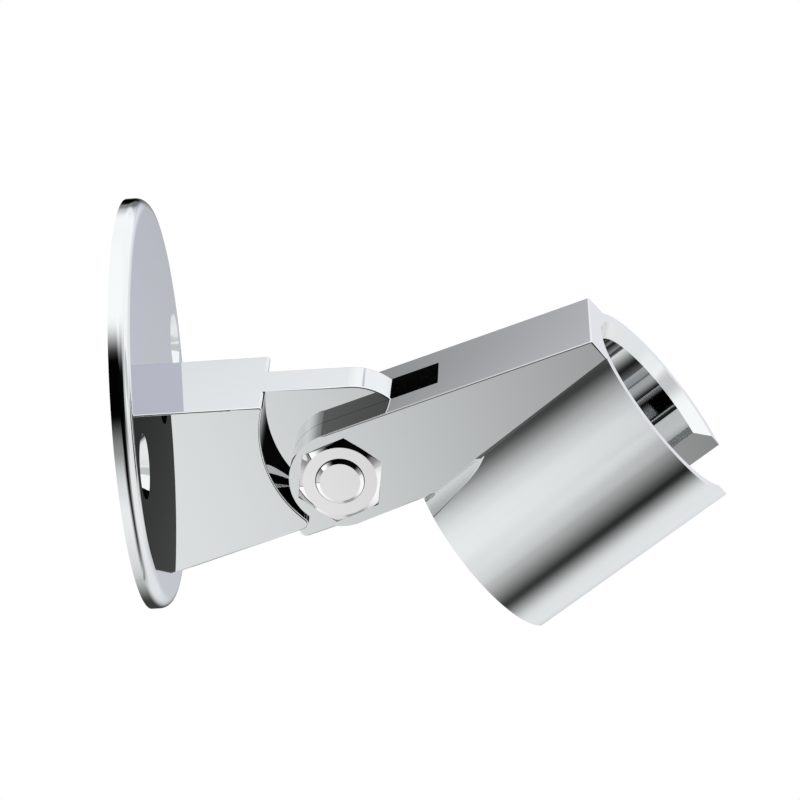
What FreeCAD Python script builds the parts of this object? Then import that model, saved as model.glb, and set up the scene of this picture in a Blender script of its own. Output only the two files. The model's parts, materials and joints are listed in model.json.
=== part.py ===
"""Hand shower holder: a wall plate, a hinge bracket and a forked arm with a C-shaped cradle tube.

Row frame, in millimetres: the origin is the centre of the wall plate's back face, X points out of the wall,
Z points up and Y runs along the hinge pin. The arm is built lying level about the pin, and its placement
lifts it to the angle at which it rests.
"""
import FreeCAD, Part
import math
import os

import Sketcher

Vector = FreeCAD.Vector

doc = FreeCAD.newDocument("hand_shower_holder")

# The driving sizes. Lengths are in millimetres and angles in degrees.
SIZES = {
    # Wall plate
    "plate_radius": 33.7,
    "plate_thickness": 3.2,
    "plate_front_round": 1.85,
    "wall_hole_radius": 3.25,
    "wall_sink_radius": 5.25,
    "wall_hole_spacing": 49.8,
    # Hinge bracket: the block
    "block_width": 21.0,
    "block_top": 2.6,
    "block_reach": 31.5,
    "block_under_height": 20.4,
    "block_under_slope": 16.9,
    "shoulder_radius": 20.0,
    "shoulder_centre_out": 40.15,
    "shoulder_centre_down": 3.45,
    "shoulder_tip_round": 1.0,
    "shoulder_top_round": 0.5,
    # Hinge bracket: the tongue
    "tongue_width": 8.15,
    "tongue_reach": 44.4,
    "tongue_end_radius": 9.9,
    "tongue_under_drop": 4.4,
    "tongue_heel_out": 24.3,
    "tongue_heel_round": 1.2,
    # Pin of the hinge
    "pivot_out": 32.3,
    "pivot_down": 11.6,
    "pin_radius": 3.9,
    "pin_running_gap": 0.06,
    "pin_still_gap": 0.1,
    "pin_stands_out": 0.96,
    "pin_end_bevel": 0.6,
    "pin_bevel_angle": 30.0,
    # Friction washers
    "washer_radius": 7.3,
    "washer_thickness": 0.5,
    "washer_side_gap": 0.15,
    "washer_stands_out": 0.03,
    "washer_face_gap": 0.03,
    # Arm
    "arm_tilt": 17.1,
    "arm_width": 18.65,
    "arm_length": 46.6,
    "cheek_radius": 8.35,
    "slot_length": 20.2,
    # Cradle tube
    "cradle_lean": 18.7,
    "cradle_drop": 19.3,
    "cradle_length": 38.45,
    "cradle_mouth_radius": 18.15,
    "cradle_foot_radius": 17.8,
    "cradle_lip": 1.7,
    "cradle_bore_radius": 14.5,
    "flare_depth": 2.0,
    "hose_gap": 19.1,
    # Nut of the hinge and its recess
    "nut_flats": 13.0,
    "nut_thickness": 4.0,
    "nut_turn": 3.8,
    "nut_stands_out": 0.6,
    "nut_bevel_angle": 30.0,
    "nut_face_radius": 6.05,
    "nut_recess_gap": 0.05,
    # Head of the hinge pin
    "head_radius": 6.5,
    "head_height": 4.0,
    "head_bevel": 0.6,
    "head_socket_flats": 5.0,
    "head_socket_depth": 2.4,
    "head_recess_gap": 0.3,
    # Screws that hold the bracket on the plate
    "screw_radius": 2.5,
    "screw_length": 13.0,
    "screw_head_radius": 5.0,
    "screw_sunk": 0.1,
    "screw_hole_gap": 0.2,
    "screw_thread_gap": 0.05,
    "screw_end_room": 1.5,
    "screw_socket_flats": 3.0,
    "screw_socket_depth": 1.6,
    "screw_spacing": 14.0,
    "screw_middle_down": 12.6,
}

sheet = doc.addObject("Spreadsheet::Sheet", "sizes")
for row, (alias, value) in enumerate(SIZES.items(), start=1):
    sheet.set(f"A{row}", alias.replace("_", " "))
    sheet.set(f"B{row}", str(value))
    sheet.setAlias(f"B{row}", alias)
doc.recompute()

# Places and sizes that several pieces share, as formulas of the sheet's cells.
TONGUE_HALF = "sizes.tongue_width / 2"
ARM_HALF = "sizes.arm_width / 2"
BORE_RADIUS = "(sizes.pin_radius + sizes.pin_running_gap)"
CHEEK_BORE_RADIUS = "(sizes.pin_radius + sizes.pin_still_gap)"
WASHER_RECESS_DEPTH = "(sizes.washer_thickness - sizes.washer_stands_out)"
SLOT_WIDTH = "(sizes.tongue_width + 2 * (sizes.washer_stands_out + sizes.washer_face_gap))"
NUT_RECESS_FLATS = "(sizes.nut_flats + 2 * sizes.nut_recess_gap)"
NUT_RECESS_DEPTH = "(sizes.nut_thickness - sizes.nut_stands_out)"
HEAD_SEAT = "(sizes.arm_width / 2 - sizes.head_height + sizes.nut_stands_out)"

# The block's underside falls towards the wall, and the tongue's underside runs below it and level with it.
UNDER_AT_REACH = "(-sizes.block_under_height + sizes.block_top)"
UNDER_SLOPE = "tan(sizes.block_under_slope)"


def under_block(out):
    """Height of the block's underside at a distance out from the wall."""
    return f"({UNDER_AT_REACH} - (sizes.block_reach - {out}) * {UNDER_SLOPE})"


def under_tongue(out):
    """Height of the tongue's underside at a distance out from the wall."""
    return f"({under_block(out)} - sizes.tongue_under_drop)"


# In the arm's own frame the pin is at the origin and the arm's top edge is level. The tube's axis leans up from
# that edge, and starts at the middle of the tube's mouth.
LEAN_COS = "cos(sizes.cradle_lean)"
LEAN_SIN = "sin(sizes.cradle_lean)"
MOUTH_X = f"(sizes.arm_length + sizes.cradle_drop * {LEAN_SIN})"
MOUTH_Z = f"(sizes.cheek_radius - sizes.cradle_drop * {LEAN_COS})"
FOOT_X = f"({MOUTH_X} - sizes.cradle_length * {LEAN_COS})"
FOOT_Z = f"({MOUTH_Z} - sizes.cradle_length * {LEAN_SIN})"
# The arm's lower edge runs from the tube's foot, where the arm's side meets the tube, to the round of the cheek.
CORNER_RISE = f"sqrt(sizes.cradle_foot_radius ^ 2 - ({ARM_HALF}) ^ 2)"
CORNER_X = f"({FOOT_X} - {CORNER_RISE} * {LEAN_SIN})"
CORNER_Z = f"({FOOT_Z} + {CORNER_RISE} * {LEAN_COS})"
CORNER_FAR = f"({CORNER_X} ^ 2 + {CORNER_Z} ^ 2)"
TANGENT_RUN = f"(sizes.cheek_radius * sqrt({CORNER_FAR} - sizes.cheek_radius ^ 2))"
TANGENT_X = f"((sizes.cheek_radius ^ 2 * {CORNER_X} + {CORNER_Z} * {TANGENT_RUN}) / {CORNER_FAR})"
TANGENT_Z = f"((sizes.cheek_radius ^ 2 * {CORNER_Z} - {CORNER_X} * {TANGENT_RUN}) / {CORNER_FAR})"


def value_of(formula):
    """The number that a formula of the sheet's cells gives."""
    result = sheet.evalExpression(formula)
    return float(getattr(result, "Value", result))


def new_body(name):
    """One sub-part, named for its node."""
    body = doc.addObject("PartDesign::Body", name)
    body.Label = name
    return body


def place(body, out="0", up="0", tilt=None):
    """Puts a body out from the wall and up, and tilts it upwards about the line of the pin."""
    body.Placement = FreeCAD.Placement(Vector(0, 0, 0), FreeCAD.Rotation(Vector(0, -1, 0), 1))
    body.setExpression("Placement.Base.x", out)
    body.setExpression("Placement.Base.z", up)
    body.setExpression("Placement.Rotation.Angle", tilt if tilt else "0")


def new_sketch(body, name, role, shift=("0", "0", "0"), turn="0"):
    """A sketch on one of the body's own planes, moved and turned in that plane."""
    planes = [feature for feature in body.Origin.OriginFeatures if feature.Role == role]
    sketch = body.newObject("Sketcher::SketchObject", name)
    sketch.AttachmentSupport = [(planes[0], "")]
    sketch.MapMode = "FlatFace"
    sketch.AttachmentOffset = FreeCAD.Placement(Vector(0, 0, 0), FreeCAD.Rotation(Vector(0, 0, 1), 1))
    for axis, formula in zip("xyz", shift):
        sketch.setExpression(f"AttachmentOffset.Base.{axis}", formula)
    sketch.setExpression("AttachmentOffset.Rotation.Angle", turn)
    return sketch


def tie_point(sketch, geometry, point, across, along):
    """Ties a point of the sketch to two formulas, measured from the sketch's origin."""
    for kind, formula in (("DistanceX", across), ("DistanceY", along)):
        index = sketch.addConstraint(Sketcher.Constraint(kind, -1, 1, geometry, point, value_of(formula)))
        sketch.setExpression(f"Constraints[{index}]", formula)


def add_outline(sketch, corners):
    """A closed outline of straight lines through corners that are pairs of formulas."""
    points = [Vector(value_of(across), value_of(along), 0) for across, along in corners]
    count = len(points)
    for index in range(count):
        sketch.addGeometry(Part.LineSegment(points[index], points[(index + 1) % count]), False)
    for index in range(count):
        sketch.addConstraint(Sketcher.Constraint("Coincident", index, 2, (index + 1) % count, 1))
    for index, (across, along) in enumerate(corners):
        tie_point(sketch, index, 1, across, along)


def add_circle(sketch, radius, across="0", along="0"):
    """A circle tied by its centre and radius."""
    centre = Vector(value_of(across), value_of(along), 0)
    circle = Part.Circle(centre, Vector(0, 0, 1), value_of(radius))
    index = sketch.addGeometry(circle, False)
    tie_point(sketch, index, 3, across, along)
    limit = sketch.addConstraint(Sketcher.Constraint("Radius", index, value_of(radius)))
    sketch.setExpression(f"Constraints[{limit}]", radius)


def add_hexagon(sketch, flats, turn="0"):
    """A hexagon about the sketch's origin, across its flats, with one corner turned from the first axis."""
    corners = []
    for step in range(6):
        angle = f"({turn} + {60 * step})"
        reach = f"({flats}) / 2 / cos(30)"
        corners.append((f"{reach} * cos({angle})", f"{reach} * sin({angle})"))
    add_outline(sketch, corners)


def pad(body, name, sketch, length, symmetric=False):
    """Adds material along the sketch's normal, or half to each side of it."""
    feature = body.newObject("PartDesign::Pad", name)
    feature.Profile = sketch
    feature.setExpression("Length", length)
    if symmetric:
        feature.SideType = "Symmetric"
    doc.recompute()
    return feature


def pocket(body, name, sketch, length, symmetric=False, towards_normal=False):
    """Takes material away, and makes sure that some was there."""
    before = body.Shape.Volume
    feature = body.newObject("PartDesign::Pocket", name)
    feature.Profile = sketch
    feature.setExpression("Length", length)
    if symmetric:
        feature.SideType = "Symmetric"
    feature.Reversed = towards_normal
    doc.recompute()
    check_cut(name, before, body.Shape.Volume)
    return feature


def revolve(body, name, sketch, axis):
    """Adds the sketch turned full circle about one of its own axes."""
    feature = body.newObject("PartDesign::Revolution", name)
    feature.Profile = sketch
    feature.ReferenceAxis = (sketch, [axis])
    feature.Angle = 360
    doc.recompute()
    return feature


def groove(body, name, sketch, axis):
    """Takes away the sketch turned full circle about one of its own axes."""
    before = body.Shape.Volume
    feature = body.newObject("PartDesign::Groove", name)
    feature.Profile = sketch
    feature.ReferenceAxis = (sketch, [axis])
    feature.Angle = 360
    doc.recompute()
    check_cut(name, before, body.Shape.Volume)
    return feature


def check_cut(name, before, after):
    """A cut has to leave less than there was, and something."""
    if not 0 < after < before - 1e-6:
        raise RuntimeError(f"{name} cut nothing: {before} to {after}")


def edges_where(feature, test):
    """Names of a feature's edges that pass a test on the middle of the edge."""
    names = []
    for index, edge in enumerate(feature.Shape.Edges, start=1):
        middle = edge.valueAt((edge.FirstParameter + edge.LastParameter) / 2)
        if test(edge, middle):
            names.append(f"Edge{index}")
    if not names:
        raise RuntimeError(f"no edge found on {feature.Label}")
    return names


def round_edges(body, name, feature, test, radius):
    """Rounds the edges that pass the test."""
    result = body.newObject("PartDesign::Fillet", name)
    result.Base = (feature, edges_where(feature, test))
    result.setExpression("Radius", radius)
    doc.recompute()
    return result


def bevel_edges(body, name, feature, test, size):
    """Bevels the edges that pass the test by 45 degrees."""
    result = body.newObject("PartDesign::Chamfer", name)
    result.Base = (feature, edges_where(feature, test))
    result.setExpression("Size", size)
    doc.recompute()
    return result


def near(left, right, tolerance=1e-3):
    return abs(left - right) < tolerance


def make_wall_plate():
    """A flat disc with a rounded front rim, two sunk holes for wall screws, and two sunk from behind."""
    body = new_body("wall_plate")
    disc = new_sketch(body, "plate_disc", "YZ_Plane")
    add_circle(disc, "sizes.plate_radius")
    plate = pad(body, "plate_pad", disc, "sizes.plate_thickness")
    thickness = value_of("sizes.plate_thickness")
    rim = value_of("sizes.plate_radius")

    def on_front_rim(edge, middle):
        return near(middle.x, thickness) and near(math.hypot(middle.y, middle.z), rim)

    round_edges(body, "plate_front_rim", plate, on_front_rim, "sizes.plate_front_round")

    wall_holes = new_sketch(body, "wall_hole_circles", "YZ_Plane")
    for side in ("-", ""):
        add_circle(wall_holes, "sizes.wall_hole_radius", across=f"{side}sizes.wall_hole_spacing / 2")
    pierced = pocket(body, "wall_holes", wall_holes, "sizes.plate_thickness * 3", towards_normal=True)

    def round_mouth(height, radius):
        return lambda edge, middle: (
            near(middle.x, height) and hasattr(edge.Curve, "Radius") and near(edge.Curve.Radius, radius)
        )

    wall_mouth = round_mouth(thickness, value_of("sizes.wall_hole_radius"))
    bevel_edges(body, "wall_countersinks", pierced, wall_mouth, "sizes.wall_sink_radius - sizes.wall_hole_radius")

    screw_holes = new_sketch(body, "screw_hole_circles", "YZ_Plane")
    for height in SCREW_HEIGHTS.values():
        add_circle(screw_holes, "sizes.screw_radius + sizes.screw_hole_gap", along=height)
    drilled = pocket(body, "screw_holes", screw_holes, "sizes.plate_thickness * 3", towards_normal=True)

    screw_mouth = round_mouth(0, value_of("sizes.screw_radius + sizes.screw_hole_gap"))
    bevel_edges(body, "screw_countersinks", drilled, screw_mouth, "sizes.screw_head_radius - sizes.screw_radius")
    return body


def make_hinge_bracket():
    """A block that butts on the plate, hollowed at both shoulders, with a tongue in its middle."""
    body = new_body("hinge_bracket")
    wall_side = "sizes.plate_thickness"
    profile = new_sketch(body, "block_profile", "XZ_Plane")
    add_outline(profile, [
        (wall_side, under_block(wall_side)),
        ("sizes.block_reach", under_block("sizes.block_reach")),
        ("sizes.block_reach", "sizes.block_top"),
        (wall_side, "sizes.block_top"),
    ])
    pad(body, "block_pad", profile, "sizes.block_width", symmetric=True)
    shoulder = new_sketch(body, "shoulder_circle", "XZ_Plane")
    add_circle(shoulder, "sizes.shoulder_radius", "sizes.shoulder_centre_out", "-sizes.shoulder_centre_down")
    hollow = pocket(body, "shoulders", shoulder, "sizes.block_width * 2", symmetric=True)

    top = value_of("sizes.block_top")
    wall = value_of(wall_side)

    def across_top(edge, middle):
        return near(middle.y, 0) and near(middle.z, top) and middle.x > wall + 1

    def across_tip(edge, middle):
        return near(middle.y, 0) and middle.z < top - 1 and middle.x > wall + 1

    softened = round_edges(body, "shoulder_top_round", hollow, across_top, "sizes.shoulder_top_round")
    round_edges(body, "shoulder_tip_round", softened, across_tip, "sizes.shoulder_tip_round")

    # The tongue starts inside the block, behind the hollow, and its heel hangs below the block.
    inside_out = f"({wall_side} + sizes.tongue_heel_out) / 2"
    inside_up = f"({under_block('sizes.tongue_heel_out')} + sizes.tongue_heel_round * 2)"
    tongue = new_sketch(body, "tongue_profile", "XZ_Plane")
    add_outline(tongue, [
        (inside_out, "sizes.block_top"),
        (inside_out, inside_up),
        ("sizes.tongue_heel_out", inside_up),
        ("sizes.tongue_heel_out", under_tongue("sizes.tongue_heel_out")),
        ("sizes.tongue_reach", under_tongue("sizes.tongue_reach")),
        ("sizes.tongue_reach", "sizes.block_top"),
    ])
    tongue_pad = pad(body, "tongue_pad", tongue, "sizes.tongue_width", symmetric=True)
    reach = value_of("sizes.tongue_reach")
    heel = value_of("sizes.tongue_heel_out")
    heel_low = value_of(under_tongue("sizes.tongue_heel_out"))

    def end_corners(edge, middle):
        return near(middle.y, 0) and near(middle.x, reach)

    def heel_corner(edge, middle):
        return near(middle.y, 0) and near(middle.x, heel) and near(middle.z, heel_low)

    ended = round_edges(body, "tongue_end", tongue_pad, end_corners, "sizes.tongue_end_radius")
    round_edges(body, "tongue_heel", ended, heel_corner, "sizes.tongue_heel_round")

    # The pin's running bore, with a shallow recess on each side for a friction washer.
    bore = new_sketch(body, "pin_bore_profile", "XY_Plane", shift=("sizes.pivot_out", "0", "-sizes.pivot_down"))
    recess = "(sizes.washer_radius + sizes.washer_side_gap)"
    floor = f"({TONGUE_HALF} - {WASHER_RECESS_DEPTH})"
    add_outline(bore, [
        ("0", "-sizes.tongue_width"),
        (recess, "-sizes.tongue_width"),
        (recess, f"-{floor}"),
        (BORE_RADIUS, f"-{floor}"),
        (BORE_RADIUS, floor),
        (recess, floor),
        (recess, "sizes.tongue_width"),
        ("0", "sizes.tongue_width"),
    ])
    groove(body, "pin_bore", bore, "V_Axis")

    # Threaded holes for the two screws that come through the plate.
    screw_holes = new_sketch(body, "screw_hole_circles", "YZ_Plane", shift=("0", "0", wall_side))
    for height in SCREW_HEIGHTS.values():
        add_circle(screw_holes, "sizes.screw_radius + sizes.screw_thread_gap", along=height)
    depth = "sizes.screw_length + sizes.screw_sunk - sizes.plate_thickness + sizes.screw_end_room"
    pocket(body, "screw_holes", screw_holes, depth, towards_normal=True)
    return body


def make_cradle_arm():
    """One casting: two fork cheeks, the arm between, and the C-shaped tube with its flared mouth."""
    body = new_body("cradle_arm")
    cheek = new_sketch(body, "cheek_circle", "XZ_Plane")
    add_circle(cheek, "sizes.cheek_radius")
    pad(body, "cheek_pad", cheek, "sizes.arm_width", symmetric=True)
    profile = new_sketch(body, "arm_profile", "XZ_Plane")
    add_outline(profile, [
        ("0", "sizes.cheek_radius"),
        ("0", "0"),
        (TANGENT_X, TANGENT_Z),
        (CORNER_X, CORNER_Z),
        (FOOT_X, FOOT_Z),
        (MOUTH_X, MOUTH_Z),
        ("sizes.arm_length", "sizes.cheek_radius"),
    ])
    pad(body, "arm_pad", profile, "sizes.arm_width", symmetric=True)

    tube_place = {"shift": (MOUTH_X, MOUTH_Z, "0"), "turn": "sizes.cradle_lean"}
    outside = new_sketch(body, "tube_outside", "XZ_Plane", **tube_place)
    add_outline(outside, [
        ("0", "0"),
        ("0", "sizes.cradle_mouth_radius"),
        ("-sizes.cradle_length", "sizes.cradle_foot_radius"),
        ("-sizes.cradle_length", "0"),
    ])
    revolve(body, "tube_body", outside, "H_Axis")
    inside = new_sketch(body, "tube_inside", "XZ_Plane", **tube_place)
    beyond = "(-sizes.cradle_length * 2)"
    add_outline(inside, [
        ("0", "0"),
        ("0", "sizes.cradle_mouth_radius - sizes.cradle_lip"),
        ("-sizes.flare_depth", "sizes.cradle_bore_radius"),
        (beyond, "sizes.cradle_bore_radius"),
        (beyond, "0"),
    ])
    groove(body, "tube_bore", inside, "H_Axis")

    # The hose slips in through a gap with parallel sides, on the side away from the arm.
    gap = new_sketch(body, "hose_gap_profile", "XZ_Plane", **tube_place)
    add_outline(gap, [
        ("sizes.cradle_length / 2", "0"),
        ("-sizes.cradle_length * 1.5", "0"),
        ("-sizes.cradle_length * 1.5", "-sizes.cradle_mouth_radius * 2"),
        ("sizes.cradle_length / 2", "-sizes.cradle_mouth_radius * 2"),
    ])
    pocket(body, "hose_gap", gap, "sizes.hose_gap", symmetric=True)

    # The slot takes the tongue and is open above, below and towards the wall.
    slot = new_sketch(body, "slot_profile", "XZ_Plane")
    add_outline(slot, [
        ("-sizes.cheek_radius * 2", "-sizes.cradle_length"),
        ("sizes.slot_length", "-sizes.cradle_length"),
        ("sizes.slot_length", "sizes.cheek_radius * 2"),
        ("-sizes.cheek_radius * 2", "sizes.cheek_radius * 2"),
    ])
    pocket(body, "fork_slot", slot, SLOT_WIDTH, symmetric=True)

    # The pin's hole through both cheeks, with a round recess for its head in the right cheek.
    hole = new_sketch(body, "pin_hole_profile", "XY_Plane")
    head_recess = "(sizes.head_radius + sizes.head_recess_gap)"
    add_outline(hole, [
        ("0", "-sizes.arm_width"),
        (CHEEK_BORE_RADIUS, "-sizes.arm_width"),
        (CHEEK_BORE_RADIUS, HEAD_SEAT),
        (head_recess, HEAD_SEAT),
        (head_recess, "sizes.arm_width"),
        ("0", "sizes.arm_width"),
    ])
    groove(body, "pin_hole", hole, "V_Axis")

    # The nut's recess is cut into the left cheek.
    recess = new_sketch(body, "nut_recess_hexagon", "XZ_Plane", shift=("0", "0", ARM_HALF))
    add_hexagon(recess, NUT_RECESS_FLATS, "sizes.nut_turn")
    pocket(body, "nut_recess", recess, NUT_RECESS_DEPTH)
    place(body, "sizes.pivot_out", "-sizes.pivot_down", "sizes.arm_tilt")
    return body


def make_pivot_nut():
    """A thin hexagon nut with a bevelled outer face."""
    body = new_body("pivot_nut")
    face = f"({ARM_HALF} + sizes.nut_stands_out)"
    hexagon = new_sketch(body, "nut_hexagon", "XZ_Plane", shift=("0", "0", f"{face} - sizes.nut_thickness"))
    add_hexagon(hexagon, "sizes.nut_flats", "sizes.nut_turn")
    pad(body, "nut_pad", hexagon, "sizes.nut_thickness")
    outer = "(sizes.nut_flats)"
    fall = f"(({outer} - sizes.nut_face_radius) * tan(sizes.nut_bevel_angle))"
    bevel = new_sketch(body, "nut_bevel_profile", "XY_Plane")
    add_outline(bevel, [
        ("sizes.nut_face_radius", f"-{face}"),
        (outer, f"-{face}"),
        (outer, f"(-{face} + {fall})"),
    ])
    groove(body, "nut_bevel", bevel, "V_Axis")
    bore = new_sketch(body, "nut_bore_circle", "XZ_Plane", shift=("0", "0", face))
    add_circle(bore, "sizes.pin_radius + sizes.screw_thread_gap")
    pocket(body, "nut_bore", bore, "sizes.nut_thickness * 2")
    place(body, "sizes.pivot_out", "-sizes.pivot_down", "sizes.arm_tilt")
    return body


def make_pivot_bolt():
    """The hinge pin: a round shank with a bevelled end, and a low head with a hexagon socket."""
    body = new_body("pivot_bolt")
    end = f"(-({ARM_HALF}) - sizes.pin_stands_out)"
    face = f"({ARM_HALF} + sizes.nut_stands_out)"
    profile = new_sketch(body, "bolt_profile", "XY_Plane")
    add_outline(profile, [
        ("0", end),
        ("sizes.pin_radius - sizes.pin_end_bevel", end),
        ("sizes.pin_radius", f"({end} + sizes.pin_end_bevel * tan(sizes.pin_bevel_angle))"),
        ("sizes.pin_radius", HEAD_SEAT),
        ("sizes.head_radius", HEAD_SEAT),
        ("sizes.head_radius", f"({face} - sizes.head_bevel)"),
        ("sizes.head_radius - sizes.head_bevel", face),
        ("0", face),
    ])
    revolve(body, "bolt_body", profile, "V_Axis")
    socket = new_sketch(body, "bolt_socket_hexagon", "XZ_Plane", shift=("0", "0", f"-{face}"))
    add_hexagon(socket, "sizes.head_socket_flats")
    pocket(body, "bolt_socket", socket, "sizes.head_socket_depth", towards_normal=True)
    place(body, "sizes.pivot_out", "-sizes.pivot_down", "sizes.arm_tilt")
    return body


def make_friction_washer(side, sign):
    """A thin flat ring that sits in the tongue's recess and stands a little proud of it."""
    body = new_body(f"friction_washer_{side}")
    outer_face = f"({TONGUE_HALF} + sizes.washer_stands_out)"
    low = f"{sign}({outer_face} - sizes.washer_thickness)"
    high = f"{sign}{outer_face}"
    ring = new_sketch(body, "ring_profile", "XY_Plane")
    add_outline(ring, [
        (CHEEK_BORE_RADIUS, low),
        ("sizes.washer_radius", low),
        ("sizes.washer_radius", high),
        (CHEEK_BORE_RADIUS, high),
    ])
    revolve(body, "ring", ring, "V_Axis")
    place(body, "sizes.pivot_out", "-sizes.pivot_down")
    return body


def make_bracket_screw(name, height):
    """A countersunk screw with a hexagon socket, driven from the back of the plate into the block."""
    body = new_body(name)
    cone = "(sizes.screw_head_radius - sizes.screw_radius)"
    profile = new_sketch(body, "screw_profile", "XZ_Plane")
    add_outline(profile, [
        ("0", "0"),
        ("0", "sizes.screw_head_radius"),
        (cone, "sizes.screw_radius"),
        ("sizes.screw_length", "sizes.screw_radius"),
        ("sizes.screw_length", "0"),
    ])
    revolve(body, "screw_body", profile, "H_Axis")
    socket = new_sketch(body, "screw_socket_hexagon", "YZ_Plane")
    add_hexagon(socket, "sizes.screw_socket_flats")
    pocket(body, "screw_socket", socket, "sizes.screw_socket_depth", towards_normal=True)
    place(body, "sizes.screw_sunk", height)
    return body


SCREW_HEIGHTS = {
    "bracket_screw_upper": "(-sizes.screw_middle_down + sizes.screw_spacing / 2)",
    "bracket_screw_lower": "(-sizes.screw_middle_down - sizes.screw_spacing / 2)",
}

bodies = [make_wall_plate(), make_hinge_bracket(), make_cradle_arm(), make_pivot_nut(), make_pivot_bolt()]
for side, sign in (("left", "-"), ("right", "")):
    bodies.append(make_friction_washer(side, sign))
for screw, height in SCREW_HEIGHTS.items():
    bodies.append(make_bracket_screw(screw, height))
doc.recompute()

for item in doc.Objects:
    faults = [word for word in item.State if word in ("Invalid", "Error")]
    if faults:
        raise RuntimeError(f"{item.Label} is {faults}")
for body in bodies:
    if body.Shape.isNull() or not body.Shape.isValid() or len(body.Shape.Solids) != 1:
        raise RuntimeError(f"{body.Label} isn't one sound solid")

os.makedirs("parts", exist_ok=True)
for body in bodies:
    body.Shape.exportStep(f"parts/{body.Label}.step")
    box = body.Shape.BoundBox
    print(f"{body.Label}: {body.Shape.Volume:.1f} mm3, x {box.XMin:.2f} to {box.XMax:.2f}, "
          f"y {box.YMin:.2f} to {box.YMax:.2f}, z {box.ZMin:.2f} to {box.ZMax:.2f}")
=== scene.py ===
# %% [markdown]
# A hand shower holder in polished chrome. Chrome has no colour of its own: it is a mirror, so its
# looks are the studio's looks, bent by the shape of each piece. The lesson therefore has two
# halves. The first builds the studio. The second dresses the pieces and gives four of them the
# worn edges and the true rounds that a mirror needs.

import json
import math

import bmesh
import bpy
import numpy as np
from mathutils import Matrix, Vector


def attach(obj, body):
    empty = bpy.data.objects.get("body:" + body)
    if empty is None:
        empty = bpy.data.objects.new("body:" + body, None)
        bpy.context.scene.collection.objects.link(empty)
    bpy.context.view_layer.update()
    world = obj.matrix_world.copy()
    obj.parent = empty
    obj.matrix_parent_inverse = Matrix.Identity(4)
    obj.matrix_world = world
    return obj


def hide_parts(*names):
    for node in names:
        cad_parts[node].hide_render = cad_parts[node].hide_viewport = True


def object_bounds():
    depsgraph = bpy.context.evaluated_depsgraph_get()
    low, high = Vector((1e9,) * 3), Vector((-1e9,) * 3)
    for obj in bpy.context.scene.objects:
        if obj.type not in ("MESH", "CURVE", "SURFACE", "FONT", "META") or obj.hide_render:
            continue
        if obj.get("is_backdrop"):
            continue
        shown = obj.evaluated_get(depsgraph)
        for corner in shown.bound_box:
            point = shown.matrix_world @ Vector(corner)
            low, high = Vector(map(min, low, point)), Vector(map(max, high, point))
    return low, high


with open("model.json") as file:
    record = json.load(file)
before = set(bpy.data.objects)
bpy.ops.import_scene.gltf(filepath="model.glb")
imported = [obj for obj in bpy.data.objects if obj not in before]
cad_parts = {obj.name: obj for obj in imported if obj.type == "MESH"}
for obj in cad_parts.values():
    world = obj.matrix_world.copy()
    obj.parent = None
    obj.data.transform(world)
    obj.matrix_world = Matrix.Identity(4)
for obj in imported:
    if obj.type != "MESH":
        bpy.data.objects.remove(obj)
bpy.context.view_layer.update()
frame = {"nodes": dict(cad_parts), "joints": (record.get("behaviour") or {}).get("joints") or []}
MM = 0.001

# %% [markdown]
# A node tree is easier to read when every node is added in the same way. One small function adds a
# node, sets its values and links its inputs, and a second one turns an sRGB hex colour to the
# linear numbers that the renderer works with.

# %% Two helpers for node trees
def add_node(tree, kind, values=None, links=None, **settings):
    """Adds a node. values fill its sockets, links feed them, and settings are its own options."""
    node = tree.nodes.new(kind)
    for name, value in settings.items():
        setattr(node, name, value)
    for socket, value in (values or {}).items():
        node.inputs[socket].default_value = value
    for socket, source in (links or {}).items():
        tree.links.new(source, node.inputs[socket])
    return node


def linear_colour(hex_code, alpha=1.0):
    """sRGB hex to linear: c / 12.92 below 0.04045, else ((c + 0.055) / 1.055) to the power 2.4."""
    srgb = np.array([int(hex_code[i:i + 2], 16) for i in (1, 3, 5)]) / 255
    linear = np.where(srgb <= 0.04045, srgb / 12.92, ((srgb + 0.055) / 1.055) ** 2.4)
    return (*linear.tolist(), alpha)


print("mid grey is", [round(value, 3) for value in linear_colour("#808080")])

# %% [markdown]
# The camera looks at the holder's side from about 24 degrees above it, a little towards the
# cradle's end, with a long lens and a slight roll. Its place was worked out from the outline of
# the plate, the nut and the cradle, so it is written here as angles, distance and target.

# %% The camera
AZIMUTH, ELEVATION, ROLL = (math.radians(angle) for angle in (3.676, 23.731, 4.972))
TARGET = Vector((42.531, 0, -2.159)) * MM
DISTANCE = 511.27 * MM
FOCAL_PIXELS, FRAME_PIXELS = 3120.2, 800
SENSOR_WIDTH, NEAREST, FARTHEST = 36, 0.01, 100

back = Vector((
    math.sin(AZIMUTH) * math.cos(ELEVATION),
    -math.cos(AZIMUTH) * math.cos(ELEVATION),
    math.sin(ELEVATION),
))
level = Vector((math.cos(AZIMUTH), math.sin(AZIMUTH), 0))
upright = back.cross(level)
right = math.cos(ROLL) * level - math.sin(ROLL) * upright
up = math.sin(ROLL) * level + math.cos(ROLL) * upright

camera_data = bpy.data.cameras.new("camera")
camera_data.sensor_fit = "HORIZONTAL"
camera_data.sensor_width = SENSOR_WIDTH
camera_data.lens = FOCAL_PIXELS / FRAME_PIXELS * SENSOR_WIDTH
camera = bpy.data.objects.new("camera", camera_data)
camera.matrix_world = Matrix((
    (right.x, up.x, back.x, 0),
    (right.y, up.y, back.y, 0),
    (right.z, up.z, back.z, 0),
    (0, 0, 0, 1),
))
camera.location = TARGET + DISTANCE * back
camera_data.clip_start, camera_data.clip_end = NEAREST, FARTHEST
bpy.context.scene.collection.objects.link(camera)
bpy.context.scene.camera = camera
bpy.context.scene.view_settings.view_transform = "Standard"
print("lens in mm:", round(camera_data.lens, 2))

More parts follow.
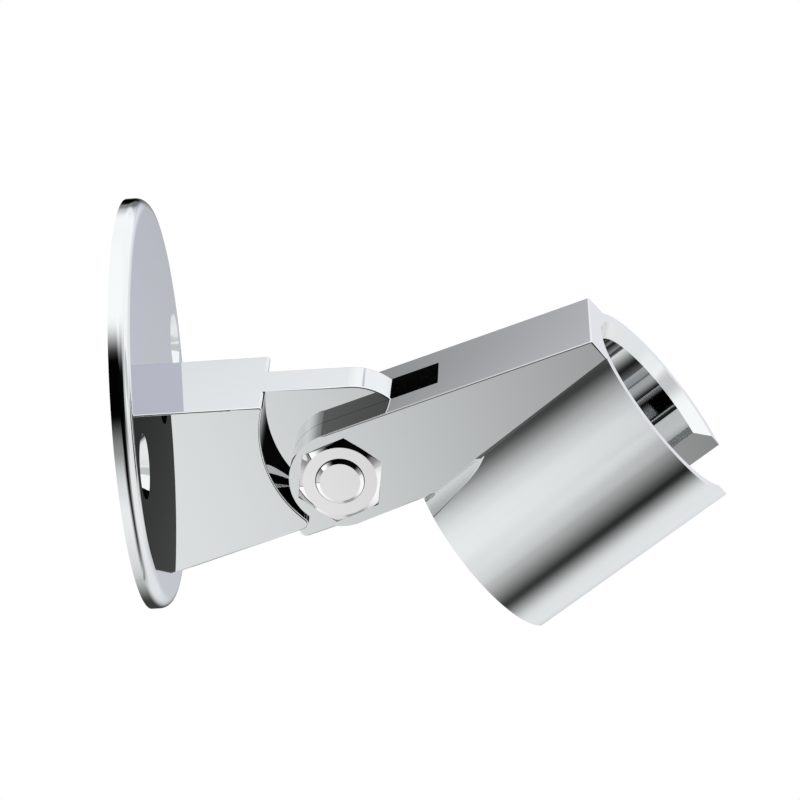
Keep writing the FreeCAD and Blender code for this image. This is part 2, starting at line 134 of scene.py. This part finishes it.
# %% [markdown]
# The floor is a pale sheet of lit acrylic, as product studios have it: it glows evenly, so it is
# white and holds no shadow. White walls stand round it, which only the camera sees. The floor and
# the walls are hidden from reflections, because what the chrome mirrors is the dome of panels
# further down.

# %% The floor and the white walls
FLOOR_DROP, ROOM_HALF = 0.6, 30


def stage_object(name, vertices, faces, material):
    """A plain mesh that belongs to the studio and isn't mirrored by the chrome."""
    mesh = bpy.data.meshes.new(name)
    mesh.from_pydata(vertices, [], faces)
    mesh.materials.append(material)
    thing = bpy.data.objects.new(name, mesh)
    thing.visible_glossy = False
    thing.visible_diffuse = False
    thing.visible_shadow = False
    bpy.context.scene.collection.objects.link(thing)
    thing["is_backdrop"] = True


lit_acrylic = bpy.data.materials.new("lit_acrylic")
lit_acrylic.use_nodes = True
glow_tree = lit_acrylic.node_tree
glow_tree.nodes.clear()
white_glow = {"Color": linear_colour("#FFFFFF"), "Strength": 1.0}
glow = add_node(glow_tree, "ShaderNodeEmission", white_glow)
add_node(glow_tree, "ShaderNodeOutputMaterial", links={"Surface": glow.outputs[0]})

square = [(x * ROOM_HALF, y * ROOM_HALF) for x, y in ((-1, -1), (1, -1), (1, 1), (-1, 1))]
floor_points = [(x, y, -FLOOR_DROP) for x, y in square]
room_points = [(x, y, z) for z in (-ROOM_HALF, ROOM_HALF) for x, y in square]
room_sides = [(i, (i + 1) % 4, (i + 1) % 4 + 4, i + 4) for i in range(4)]
stage_object("floor", floor_points, [(0, 1, 2, 3)], lit_acrylic)
stage_object("white_walls", room_points, [*room_sides, (0, 1, 2, 3), (4, 5, 6, 7)], lit_acrylic)
print("the floor lies", FLOOR_DROP, "m below the plate's centre")

# %% [markdown]
# A mirror shows only what stands round it, so this is where the holder gets its tones. Think of a
# dome round the product: it is pale all over, a little brighter towards the top. On it hang
# soft-edged panels. The white ones are softboxes, and the black ones are flags, which are put up
# so that chrome gets its dark bands. Without the flags it would look like white plastic.
#
# The dome itself comes first. Its colour is the first of the layers, and each panel adds one.

# %% The bare dome
DOME_LIGHT = "#FCFEFE"
LOW_BRIGHTNESS, TOP_BRIGHTNESS = 1.08, 1.35
FADE_START, FADE_END = -0.077, 0.156
# A Mix node has sockets of the same name for each kind of data. These are its sockets for colours.
COLOUR_A, COLOUR_B, COLOUR_MIXED = 6, 7, 2

world = bpy.data.worlds.new("studio")
bpy.context.scene.world = world
world.use_nodes = True
dome = world.node_tree
dome.nodes.clear()


def glowing(brightness, hex_code=DOME_LIGHT):
    """The linear colour of a panel of this brightness."""
    return (*(brightness * value for value in linear_colour(hex_code)[:3]), 1.0)


direction = add_node(dome, "ShaderNodeTexCoord").outputs["Generated"]
parts = add_node(dome, "ShaderNodeSeparateXYZ", links={"Vector": direction})
rise = add_node(
    dome, "ShaderNodeMapRange", {"From Min": FADE_START, "From Max": FADE_END},
    {"Value": parts.outputs["Z"]}, interpolation_type="SMOOTHSTEP",
)
surround = add_node(
    dome, "ShaderNodeMix", {COLOUR_A: glowing(LOW_BRIGHTNESS), COLOUR_B: glowing(TOP_BRIGHTNESS)},
    {"Factor": rise.outputs[0]}, data_type="RGBA",
)
layers = [surround.outputs[COLOUR_MIXED]]
print("the dome's brightness goes from", LOW_BRIGHTNESS, "to", TOP_BRIGHTNESS)

# %% [markdown]
# A panel needs no mesh. A Mapping node turns every direction into the panel's own measure, in
# which its edge lies at 1 from its centre. A smooth step across that edge then mixes the panel
# over what hangs behind it.
#
# A panel is an ellipse on the dome. The two angles of at are its heading and its height above the
# horizon. The heading goes from the far side (0) by the cradle's side (90) to the camera's side
# (180). turn leans the panel, and size holds half its width and half its length. All of these are
# degrees. soft is the share of the panel that fades out, and bright is its light.

# %% A panel on the dome
def hang_panel(at, turn, size, soft, bright, tone=DOME_LIGHT):
    """Hangs one soft ellipse on the dome, in front of the layers so far."""
    heading, height, turn = (math.radians(angle) for angle in (*at, turn))
    centre = Vector((
        math.sin(heading) * math.cos(height),
        math.cos(heading) * math.cos(height),
        math.sin(height),
    ))
    level_side = Vector((math.cos(heading), -math.sin(heading), 0))
    upper_side = level_side.cross(centre)
    wide = math.cos(turn) * level_side + math.sin(turn) * upper_side
    long = math.cos(turn) * upper_side - math.sin(turn) * level_side
    width, length = (2 * math.sin(math.radians(angle) / 2) for angle in size)
    local = add_node(
        dome, "ShaderNodeMapping", {
            "Location": centre,
            "Rotation": Matrix((long, wide, centre)).transposed().to_euler(),
            "Scale": (length, width, max(length, width)),
        }, {"Vector": direction}, vector_type="TEXTURE",
    )
    distance = add_node(
        dome, "ShaderNodeVectorMath", links={0: local.outputs[0]}, operation="LENGTH",
    )
    cover = add_node(
        dome, "ShaderNodeMapRange",
        {"From Min": 1 + soft, "From Max": 1 - soft, "To Min": 0.0, "To Max": 1.0},
        {"Value": distance.outputs["Value"]}, interpolation_type="SMOOTHSTEP",
    )
    mix = add_node(
        dome, "ShaderNodeMix", {COLOUR_B: glowing(bright, tone)},
        {"Factor": cover.outputs[0], COLOUR_A: layers[-1]}, data_type="RGBA",
    )
    layers.append(mix.outputs[COLOUR_MIXED])


print("a panel is three nodes and a mix")

# %% [markdown]
# The panels follow from back to front. To find them, rays from the camera were bounced off the
# solids, which tells the direction that each band of the photo's chrome mirrors. A least squares
# fit of the panels to those bands gave most of the angles, and the rest were set one by one.

# %% All panels, from back to front
# The big flag stands round the camera. The dark bands of the nut and the cradle are its image.
hang_panel(at=(178.7, 12.2), turn=8.1, size=(41.9, 60.7), soft=0.34, bright=0.001)
# A low flag carries the dark band on under the camera.
hang_panel(at=(165.6, -42.8), turn=-8.3, size=(14.3, 36.3), soft=0.72, bright=0.004)
# The key light is a tall softbox at the camera's left. The cradle's broad highlight is its image.
hang_panel(at=(223.6, -18.5), turn=-22, size=(34.2, 50.2), soft=0.29, bright=1.24)
# A flag high on the left darkens the far side of every round edge.
hang_panel(at=(318.2, 28.3), turn=-32.2, size=(77.4, 11.5), soft=0.53, bright=0.008)
# The grey card behind the plate shades the top of the arm.
hang_panel(at=(333.7, 4.2), turn=-38.4, size=(4.6, 16.9), soft=0.52, bright=0.3, tone="#F9FFEA")
# A narrow light above the card brightens the top of the bracket.
hang_panel(at=(337, 21.8), turn=17.3, size=(20.3, 4.7), soft=0.35, bright=1.4)
# Two cool lights low on the far side give the plate its blue grey.
hang_panel(at=(14.7, -17.7), turn=4.9, size=(7.3, 27.3), soft=0.95, bright=0.9, tone="#EDF0FF")
hang_panel(at=(13.6, 3.7), turn=145.1, size=(35.1, 8.2), soft=0.71, bright=1.07, tone="#F7F8FF")
# A small grey card lies under the holder.
hang_panel(at=(138.6, -83.4), turn=-69.8, size=(12, 3.2), soft=0.35, bright=0.42)
# A flag low behind the plate gives the cradle's rim and its bore their black.
hang_panel(at=(339.1, -35.1), turn=-10.9, size=(21.3, 46.1), soft=0.45, bright=0.055)
# A softbox beside the key light keeps the bracket's side pale.
hang_panel(at=(213, -16.4), turn=99.3, size=(16.5, 29.2), soft=0.25, bright=1.07)
# A flat flag on the horizon behind the plate draws the dark lines in the bore.
hang_panel(at=(334.4, -0.6), turn=1.9, size=(37.7, 9.8), soft=0.4, bright=0.001)
# A very small card above it shades the doubled image of the bracket in the plate.
hang_panel(at=(8.5, 23.1), turn=0, size=(1.3, 1.2), soft=0.15, bright=0.93, tone="#EEEFFF")
# The overhead softbox reaches far over to the cradle's side.
hang_panel(at=(87.2, 86.7), turn=-145.7, size=(28.6, 50.1), soft=0.31, bright=1.4)
# A grey card in front of the flags lifts the plate's edge.
hang_panel(at=(182.8, -6.9), turn=-9, size=(5.9, 13.3), soft=0.95, bright=0.41)
# Grey cards and a light past the cradle's mouth show in the sunk screw holes and on the nut.
hang_panel(at=(106.5, -35.2), turn=-31.5, size=(18.8, 31.4), soft=0.57, bright=1.19)
hang_panel(at=(91.6, 10.4), turn=-35.5, size=(8.1, 15), soft=0.23, bright=0.8)
hang_panel(at=(60.2, -13.7), turn=107.2, size=(9.1, 35.2), soft=0.36, bright=1.16)
hang_panel(at=(135, -9.1), turn=-14.9, size=(3.9, 36.7), soft=0.22, bright=1.19, tone="#FFFFFE")
# A last small card on the far horizon ends the cool light.
hang_panel(at=(358.1, 10.5), turn=-3.9, size=(14, 3.9), soft=0.74, bright=0.31, tone="#FBF8FF")
# Two dark cards and a grey one shape the black and white bands of the plate's rim.
hang_panel(at=(352, -4), turn=0, size=(8, 6), soft=0.5, bright=0.001)
hang_panel(at=(141, 24.2), turn=-11.2, size=(22, 28), soft=0.62, bright=0.003)
hang_panel(at=(115.8, 23.1), turn=43.7, size=(7.8, 20.5), soft=0.51, bright=0.83)
# A dim card low over the rim's top shades the start of its round.
hang_panel(at=(5.5, 4.5), turn=0, size=(6, 6), soft=0.6, bright=0.22)
# Four soft cards hang on the wall's side, which the camera's side never mirrors. They give the
# plate's back the slow change from light to grey that tells polished metal from white paint.
hang_panel(at=(233, -20), turn=0, size=(9, 12), soft=0.5, bright=0.62)
hang_panel(at=(278, -14), turn=10, size=(17, 9), soft=0.6, bright=0.04)
hang_panel(at=(318, -32), turn=-15, size=(7, 13), soft=0.6, bright=0.3)
hang_panel(at=(282, 58), turn=0, size=(22, 7), soft=0.5, bright=0.15)

glow_all = add_node(dome, "ShaderNodeBackground", {"Strength": 1.0}, {"Color": layers[-1]})
add_node(dome, "ShaderNodeOutputWorld", links={"Surface": glow_all.outputs[0]})
print("panels on the dome:", sum(node.type == "MAPPING" for node in dome.nodes))

# %% [markdown]
# Every finish here starts in the same way: the place on the piece in millimetres feeds the
# patterns, so a polishing mark is as wide as a real one. The shader's own sockets hold what is the
# same all over.

# %% The start of every finish
# Blender's noise hardly leaves this middle range.
NOISE_LOW, NOISE_HIGH = 0.3, 0.7


def new_finish(name, **values):
    """Starts a material, with values for the shader's sockets that are the same all over.

    Gives back the material, its tree, its shader and the place on the piece in millimetres.
    """
    material = bpy.data.materials.new(name)
    material.use_nodes = True
    tree = material.node_tree
    shader = tree.nodes["Principled BSDF"]
    for socket, value in values.items():
        shader.inputs[socket].default_value = value
    place = add_node(tree, "ShaderNodeTexCoord").outputs["Object"]
    in_mm = add_node(
        tree, "ShaderNodeVectorMath", {"Scale": 1 / MM}, {"Vector": place}, operation="SCALE",
    )
    return material, tree, shader, in_mm.outputs["Vector"]


def grain(tree, place, per_mm, stretch=(1, 1, 1), detail=2.0):
    """Cloudy noise from 0 to 1, with per_mm patches to the millimetre."""
    laid = add_node(tree, "ShaderNodeMapping", {"Scale": stretch}, {"Vector": place})
    noise = add_node(
        tree, "ShaderNodeTexNoise", {"Scale": per_mm, "Detail": detail},
        {"Vector": laid.outputs["Vector"]},
    )
    return noise.outputs["Fac"]


def spread(tree, source, low, high):
    """Spreads the middle range of a noise from low to high."""
    wider = add_node(
        tree, "ShaderNodeMapRange",
        {"From Min": NOISE_LOW, "From Max": NOISE_HIGH, "To Min": low, "To Max": high},
        {"Value": source},
    )
    return wider.outputs["Result"]


def relief(tree, shader, height, depth):
    """Bump from a height of 0 to 1 that stands for depth metres."""
    bump = add_node(
        tree, "ShaderNodeBump", {"Strength": 1.0, "Distance": depth}, {"Height": height},
    )
    tree.links.new(bump.outputs["Normal"], shader.inputs["Normal"])


print("a finish is a function of the place in mm")

# %% [markdown]
# Bright chrome is plated over a casting that was buffed on a wheel. It is a mirror, yet not a
# perfect one: the buffing leaves hair marks along the way the piece was drawn over the wheel, and
# soft smears where the wheel pressed less. Both change how sharp the mirror is. The marks also
# have a trace of depth, and the smears a trace of a darker tone. The colour is the grey of
# chromium, and it grows whiter at a glancing angle by itself, as a metal's does in this shader.

# %% Buffed chrome
MARKS_PER_MM, MARK_DETAIL, SMEARS_PER_MM = 2.5, 4.0, 0.09
MIRROR, HAZE = 0.008, 0.022
MARK_DEPTH = 0.00004 * MM


def buffed_chrome(name, hex_code, smeared, draw):
    """A mirror with hair marks and smears. draw stretches the marks along the wheel's way."""
    material, tree, shader, place = new_finish(name, Metallic=1.0)
    marks = grain(tree, place, MARKS_PER_MM, draw, MARK_DETAIL)
    smears = grain(tree, place, SMEARS_PER_MM)
    both = add_node(tree, "ShaderNodeMix", {"Factor": 0.5}, {"A": marks, "B": smears})
    tree.links.new(spread(tree, both.outputs["Result"], MIRROR, HAZE), shader.inputs["Roughness"])
    tone = add_node(
        tree, "ShaderNodeMix",
        {COLOUR_A: linear_colour(hex_code), COLOUR_B: linear_colour(smeared)},
        {"Factor": smears}, data_type="RGBA",
    )
    tree.links.new(tone.outputs[COLOUR_MIXED], shader.inputs["Base Color"])
    relief(tree, shader, marks, MARK_DEPTH)
    return material


# The plate and the bracket are drawn over the wheel crosswise, and the arm along its length.
CHROME_TONE, CHROME_SMEAR = "#D7D8D8", "#D5D7D7"
plate_chrome = buffed_chrome("buffed_chrome_plate", CHROME_TONE, CHROME_SMEAR, (1, 0.05, 1))
bracket_chrome = buffed_chrome("buffed_chrome_bracket", CHROME_TONE, CHROME_SMEAR, (0.05, 1, 1))
arm_chrome = buffed_chrome("buffed_chrome_arm", CHROME_TONE, CHROME_SMEAR, (0.06, 1, 0.4))
print("hair marks:", MARKS_PER_MM, "to the mm, smears:", round(1 / SMEARS_PER_MM), "mm apart")

# %% [markdown]
# The nut and the bolt are bought parts of bright stainless steel, a little warmer than the chrome.
# They come off a lathe, so their end faces carry fine rings round the pivot, which only a close
# look shows.

# %% Turned bright steel
PIVOT = Vector(frame["joints"][0]["pos_m"])
RING_SCALE, RING_WANDER, RING_DEPTH = 2.6, 0.4, 0.00003 * MM
BLOTCHES_PER_MM, STEEL_MIRROR, STEEL_HAZE = 0.6, 0.012, 0.035


def turned_steel(name, hex_code):
    """Bright steel with fine rings round the pivot, and blotches in how sharp its mirror is."""
    material, tree, shader, place = new_finish(name, Metallic=1.0)
    shader.inputs["Base Color"].default_value = linear_colour(hex_code)
    centred = add_node(
        tree, "ShaderNodeVectorMath", {1: PIVOT / MM}, {0: place}, operation="SUBTRACT",
    )
    rings = add_node(
        tree, "ShaderNodeTexWave",
        {"Scale": RING_SCALE, "Distortion": RING_WANDER, "Detail": 1.0},
        {"Vector": centred.outputs["Vector"]}, wave_type="RINGS", rings_direction="Y",
    )
    blotches = grain(tree, place, BLOTCHES_PER_MM)
    tree.links.new(spread(tree, blotches, STEEL_MIRROR, STEEL_HAZE), shader.inputs["Roughness"])
    relief(tree, shader, rings.outputs["Fac"], RING_DEPTH)
    return material


nut_steel = turned_steel("turned_bright_steel", "#EAE7E7")
print("rings round the pivot, in mm at", [round(value / MM, 2) for value in PIVOT])

# %% [markdown]
# Three finishes hardly show. The faces inside the fork get a near-black colour that is painted
# shade for the dark deep in the fork. The friction washers are black nylon with a moulded grain,
# and the screws behind the plate are zinc plated, with a dull and slightly cloudy shine, as a real
# holder has.

# %% The hidden finishes
GRAIN_DETAIL = 5.0


def plain_finish(name, hex_code, metallic, smoothest, roughest, per_mm, depth):
    """One cloudy grain drives both the roughness and the relief."""
    material, tree, shader, place = new_finish(name, Metallic=metallic)
    shader.inputs["Base Color"].default_value = linear_colour(hex_code)
    cloud = grain(tree, place, per_mm, detail=GRAIN_DETAIL)
    tree.links.new(spread(tree, cloud, smoothest, roughest), shader.inputs["Roughness"])
    relief(tree, shader, cloud, depth)
    return material


# Painted shade: a near-black, dull metal colour on the faces inside the fork, for the shade there.
fork_painted_shade = plain_finish(
    "painted_shade_in_fork", "#161617", metallic=0.6, smoothest=0.35, roughest=0.6,
    per_mm=1.5, depth=0.01 * MM,
)
black_nylon = plain_finish(
    "black_nylon", "#0E0E0F", metallic=0.0, smoothest=0.45, roughest=0.65,
    per_mm=3.0, depth=0.006 * MM,
)
zinc_plate = plain_finish(
    "zinc_plated_steel", "#B4B7BA", metallic=1.0, smoothest=0.22, roughest=0.38,
    per_mm=0.8, depth=0.001 * MM,
)
print("hidden finishes:", fork_painted_shade.name, black_nylon.name, zinc_plate.name)

# %% [markdown]
# Each solid from CAD now gets its finish. The nut and the bolt share one, because they are of the
# same steel.

# %% Every solid gets its finish
FINISHES = {
    "wall_plate": plate_chrome,
    "hinge_bracket": bracket_chrome,
    "cradle_arm": arm_chrome,
    "pivot_nut": nut_steel,
    "pivot_bolt": nut_steel,
    "friction_washer_left": black_nylon,
    "friction_washer_right": black_nylon,
    "bracket_screw_upper": zinc_plate,
    "bracket_screw_lower": zinc_plate,
}
for node, thing in frame["nodes"].items():
    thing.data.materials.clear()
    thing.data.materials.append(FINISHES[node])
print(len(FINISHES), "solids dressed in", len(set(FINISHES.values())), "finishes")

# %% [markdown]
# A casting is ground and buffed before it is plated, so no outer edge of it stays truly sharp. The
# eye sees that at once on chrome: each edge shows as a thin bright line with a dark one beside it.
# The solids from CAD have sharp edges, so copies of them get a narrow round on every convex edge
# that the buffing wheel can reach. The edges in the fork, round the pivot, on the turned tube and
# against the wall plate stay sharp.

# %% Where the buffing wheel reaches
# A little beyond the cheeks' round ends, the plate's front, the fork's gap and the tube's wall.
PIVOT_REACH, PLATE_FACE = 8.5 * MM, 3.3 * MM
FORK_HALF, FORK_END = 4.3 * MM, 62 * MM
TUBE_START, TUBE_REACH = Vector((69.271, 0, -17.401)) * MM, 18.4 * MM
TUBE_LEAN = math.radians(35.8)
TUBE_AXIS = Vector((math.cos(TUBE_LEAN), 0, math.sin(TUBE_LEAN)))


def wheel_reaches(point, is_arm):
    """False round the pivot, in the arm's fork, on the turned tube and next to the wall plate."""
    near_pivot = math.hypot(point.x - PIVOT.x, point.z - PIVOT.z) < PIVOT_REACH
    in_fork = is_arm and abs(point.y) < FORK_HALF and point.x < FORK_END
    on_tube = is_arm and (point - TUBE_START).cross(TUBE_AXIS).length < TUBE_REACH
    return not (near_pivot or in_fork or on_tube or point.x < PLATE_FACE)


print("the wheel keeps", PIVOT_REACH / MM, "mm from the pivot's middle")

# %% [markdown]
# A CAD mesh is loose triangles, so its copy is merged into one closed skin, and the lines across
# its flat faces are dissolved. A mirror shows the smallest fault in its normals. So each corner
# first writes down the exact normal that it has on the solid, and the skin carries that along.

# %% A solid as one skin
MERGE_DISTANCE = 0.001 * MM
FLAT_ANGLE = math.radians(0.4)


def values_of(source, what, width=1, kind=np.float32):
    """One value, or a row of width values, for each item of a mesh's list."""
    values = np.empty(len(source) * width, kind)
    source.foreach_get(what, values)
    return values.reshape(-1, width) if width > 1 else values


def merged_copy(node):
    """A CAD solid as one closed skin that remembers the solid's own normals."""
    source = frame["nodes"][node].data.copy()
    kept = source.attributes.new("solid_normal", "FLOAT_VECTOR", "CORNER")
    kept.data.foreach_set("vector", values_of(source.corner_normals, "vector", 3).ravel())
    shape = bmesh.new()
    shape.from_mesh(source)
    shape.faces.layers.int.new("face_mark")
    bmesh.ops.remove_doubles(shape, verts=shape.verts, dist=MERGE_DISTANCE)
    bmesh.ops.recalc_face_normals(shape, faces=shape.faces)
    bmesh.ops.dissolve_limit(
        shape, angle_limit=FLAT_ANGLE, verts=shape.verts, edges=shape.edges,
    )
    return shape


bracket_skin = merged_copy("hinge_bracket")
arm_skin = merged_copy("cradle_arm")
print("faces of the skins:", len(bracket_skin.faces), "and", len(arm_skin.faces))

# %% [markdown]
# A bevel turns an edge into a narrow round. An edge of the casting bends outwards by far more than
# the small steps of its curves do, so the angle tells them apart. The new faces are marked,
# because their normals are worked out in another way.

# %% Rounds on the worn edges
SHARP_ANGLE = math.radians(28)
EDGE_ROUND, ROUND_STEPS = 0.3 * MM, 3
ON_WORN_EDGE, ON_RIM = 1, 2


def round_worn_edges(shape, is_arm):
    """Rounds the convex edges that the wheel reaches, and marks the new faces."""
    worn = [
        edge for edge in shape.edges
        if edge.calc_face_angle_signed(0) > SHARP_ANGLE
        and wheel_reaches((edge.verts[0].co + edge.verts[1].co) / 2, is_arm)
    ]
    made = bmesh.ops.bevel(
        shape, geom=worn, offset=EDGE_ROUND, offset_type="OFFSET", segments=ROUND_STEPS,
        profile=0.5, affect="EDGES", clamp_overlap=False, loop_slide=True,
    )
    mark = shape.faces.layers.int["face_mark"]
    for face in made["faces"]:
        face[mark] = ON_WORN_EDGE


round_worn_edges(bracket_skin, is_arm=False)
round_worn_edges(arm_skin, is_arm=True)
print("faces with the rounds:", len(bracket_skin.faces), "and", len(arm_skin.faces))

# %% [markdown]
# The faces between the rounds keep the exact normals of the solid, so they mirror as flat or as
# round as they are. Only the rounds get new normals, which lead from one side of the worn edge to
# the other.

# %% Normals that a mirror can live with
# A sum of normals shorter than HAS_NORMAL means that no face of the solid touches the vertex.
HAS_NORMAL, SMALLEST = 0.1, 1e-12


def corners_of(mesh):
    """For each face corner: its vertex, the mark of its face and the solid's own normal.

    Also the number of corners of each face, which spreads a value of the faces over their corners.
    """
    vertex = values_of(mesh.loops, "vertex_index", kind=np.int32)
    sides = values_of(mesh.polygons, "loop_total", kind=np.int32)
    mark = values_of(mesh.attributes["face_mark"].data, "value", kind=np.int32)
    normal = values_of(mesh.attributes["solid_normal"].data, "vector", 3)
    return vertex, sides, np.repeat(mark, sides), normal


def even_normals(mesh):
    """Sets the corner normals.

    A corner of the solid's own faces keeps its normal. A corner on a round gets the sum of the
    solid's normals at its vertex. Where no solid face touches the vertex, it gets the sum of the
    normals of the round's faces there, each times the face's area. At last each normal is divided
    by its length.
    """
    vertex, sides, mark, normal = corners_of(mesh)
    facing, area = values_of(mesh.polygons, "normal", 3), values_of(mesh.polygons, "area")
    on_round = mark == ON_WORN_EDGE
    weighted = np.repeat(facing * area[:, None], sides, axis=0)
    from_solid, from_round = (np.zeros((len(mesh.vertices), 3)) for _ in range(2))
    np.add.at(from_solid, vertex[~on_round], normal[~on_round])
    np.add.at(from_round, vertex[on_round], weighted[on_round])
    touches = np.linalg.norm(from_solid, axis=1) > HAS_NORMAL
    shared = np.where(touches[:, None], from_solid, from_round)
    normal[on_round] = shared[vertex[on_round]]
    normal /= np.maximum(np.linalg.norm(normal, axis=1), SMALLEST)[:, None]
    mesh.normals_split_custom_set(normal.tolist())


print("face corners of the arm's skin:", sum(len(face.verts) for face in arm_skin.faces))

# %% [markdown]
# A finished skin becomes a piece that stands for its CAD solid: it rides on the same body. The arm
# has a second finish inside its fork, a near-black colour that is painted shade for the dark
# there.

# %% The two castings
# The painted shade reaches half the fork's gap and a little more, which takes in its walls and
# nothing outside it.
FORK_SHADE_HALF = 4.2 * MM


def paint_fork_shade(mesh):
    """Paints shade, the second finish, on every face that has all its corners inside the fork."""
    vertex, sides, _, _ = corners_of(mesh)
    corner = values_of(mesh.vertices, "co", 3)[vertex]
    outside = (np.abs(corner[:, 1]) >= FORK_SHADE_HALF) | (corner[:, 0] >= FORK_END)
    first_corners = np.cumsum(sides) - sides
    in_fork = ~np.logical_or.reduceat(outside, first_corners)
    mesh.materials.append(fork_painted_shade)
    mesh.polygons.foreach_set("material_index", in_fork.astype(np.int32))


def dressed_piece(shape, node, body, name, refine=None):
    """Makes the skin a piece that stands for the CAD solid. refine may change its mesh first."""
    mesh = bpy.data.meshes.new(name)
    shape.to_mesh(mesh)
    shape.free()
    mesh.shade_smooth()
    mesh.materials.append(FINISHES[node])
    if refine:
        refine(mesh)
    even_normals(mesh)
    piece = bpy.data.objects.new(name, mesh)
    bpy.context.scene.collection.objects.link(piece)
    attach(piece, body)
    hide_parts(node)
    print(name, "has", len(mesh.polygons), "faces")


dressed_piece(bracket_skin, "hinge_bracket", "wall_bracket", "bracket_casting")
# The arm's fork gets the painted shade.
dressed_piece(arm_skin, "cradle_arm", "arm", "arm_casting", paint_fork_shade)

# %% [markdown]
# A nut's thread has play, and the bolt lies low in it. So a thin dark gap shows over the bolt's
# end and closes below it. Here the bore widens towards the outer face, round a middle that lies a
# little high.

# %% The mouth of the nut's thread
MOUTH_RADIUS, MOUTH_LIFT, BORE_REACH = 4.03 * MM, 0.1 * MM, 4.2 * MM
# Places closer together than this count as the same.
NEAR = 0.01 * MM


def open_mouth(mesh):
    """Widens the bore in the outer face.

    The bore's circle there grows about the pivot until its radius is the mouth's radius, and then
    it moves up by the lift.
    """
    place = values_of(mesh.vertices, "co", 3)
    across, up = place[:, 0] - PIVOT.x, place[:, 2] - PIVOT.z
    radius = np.hypot(across, up)
    at_mouth = (place[:, 1] < place[:, 1].min() + NEAR) & (radius < BORE_REACH)
    wider = MOUTH_RADIUS / radius[at_mouth]
    place[at_mouth, 0] = PIVOT.x + across[at_mouth] * wider
    place[at_mouth, 2] = PIVOT.z + up[at_mouth] * wider + MOUTH_LIFT
    mesh.vertices.foreach_set("co", place.ravel())


nut_skin = merged_copy("pivot_nut")
dressed_piece(nut_skin, "pivot_nut", "arm", "nut_with_thread_mouth", open_mouth)

# %% [markdown]
# The wall plate is turned on a lathe, so its rim is truly round: a cylinder that runs into a
# quarter circle. The CAD mesh shows that with flat steps, and a mirror doubles each step. Here the
# rim's faces are cut finer first.

# %% The rim of the wall plate, cut finer
RIM_CUTS = 3
# The front is flat to within LEVEL, and its faces look along the axis by at least LEVEL_FACING.
LEVEL, LEVEL_FACING = 0.001 * MM, 0.9999


def cut_rim(shape):
    """Marks the faces outside the flat front and cuts each of their edges into RIM_CUTS + 1."""
    def radius_of(vertex):
        return math.hypot(vertex.co.y, vertex.co.z)

    front = max(vertex.co.x for vertex in shape.verts)
    flat_radius = max(radius_of(vertex) for vertex in shape.verts if vertex.co.x > front - LEVEL)
    rim = [
        face for face in shape.faces
        if abs(face.normal.x) < LEVEL_FACING
        and all(radius_of(vertex) > flat_radius - NEAR for vertex in face.verts)
    ]
    mark = shape.faces.layers.int["face_mark"]
    for face in rim:
        face[mark] = ON_RIM
    edges = list({edge for face in rim for edge in face.edges})
    bmesh.ops.subdivide_edges(shape, edges=edges, cuts=RIM_CUTS, use_grid_fill=True)


plate_skin = merged_copy("wall_plate")
faces_before = len(plate_skin.faces)
cut_rim(plate_skin)
print("the plate goes from", faces_before, "to", len(plate_skin.faces), "faces")

# %% [markdown]
# Then every new corner is laid on the true rim, and its normal is the one of the turned form.

# %% The rim laid on its true round
RIM_MARGIN = 0.1 * MM


def lay_rim(mesh):
    """Lays the rim on its true outline, turned round the X axis.

    The outline is a straight line at the rim's radius, from the back up to where the round starts,
    and then a quarter circle in to the flat front. On the quarter circle a vertex moves straight
    away from the circle's middle until it is one rounding from it. The normal points the same way.
    """
    place = values_of(mesh.vertices, "co", 3)
    radius = np.hypot(place[:, 1], place[:, 2])
    front, rim_radius = place[:, 0].max(), radius.max()
    at_front = place[:, 0] > front - LEVEL
    flat_radius = radius[at_front].max()
    rounding = rim_radius - flat_radius
    round_start = front - rounding
    on_rim = radius > flat_radius - RIM_MARGIN
    behind = place[:, 0] <= round_start
    on_quarter = on_rim & ~at_front & ~behind
    out, ahead = radius - flat_radius, place[:, 0] - round_start
    stretch = rounding / np.maximum(np.hypot(out, ahead), NEAR)
    true_radius = np.select(
        [on_quarter, on_rim & at_front, on_rim & behind],
        [flat_radius + out * stretch, flat_radius, rim_radius],
        radius,
    )
    place[on_quarter, 0] = round_start + (ahead * stretch)[on_quarter]
    place[:, 1:] *= (true_radius / np.maximum(radius, NEAR))[:, None]
    mesh.vertices.foreach_set("co", place.ravel())

    forward = np.clip((place[:, 0] - round_start) / rounding, 0, 1)
    distance = np.maximum(np.hypot(place[:, 1], place[:, 2]), NEAR)
    outward = np.sqrt(1 - forward ** 2) / distance
    turned = np.column_stack((forward, place[:, 1] * outward, place[:, 2] * outward))
    vertex, _, mark, normal = corners_of(mesh)
    normal[mark == ON_RIM] = turned[vertex[mark == ON_RIM]]
    mesh.attributes["solid_normal"].data.foreach_set("vector", normal.ravel())


dressed_piece(plate_skin, "wall_plate", "wall_bracket", "turned_plate", lay_rim)

# %% [markdown]
# Last, the box of the finished object is worked out and printed. It should be the CAD model's box
# to a small fraction of a millimetre.

# %% The size of the finished object
finished = [[round(value / MM, 2) for value in corner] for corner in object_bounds()]
print("finished box in mm:", finished)
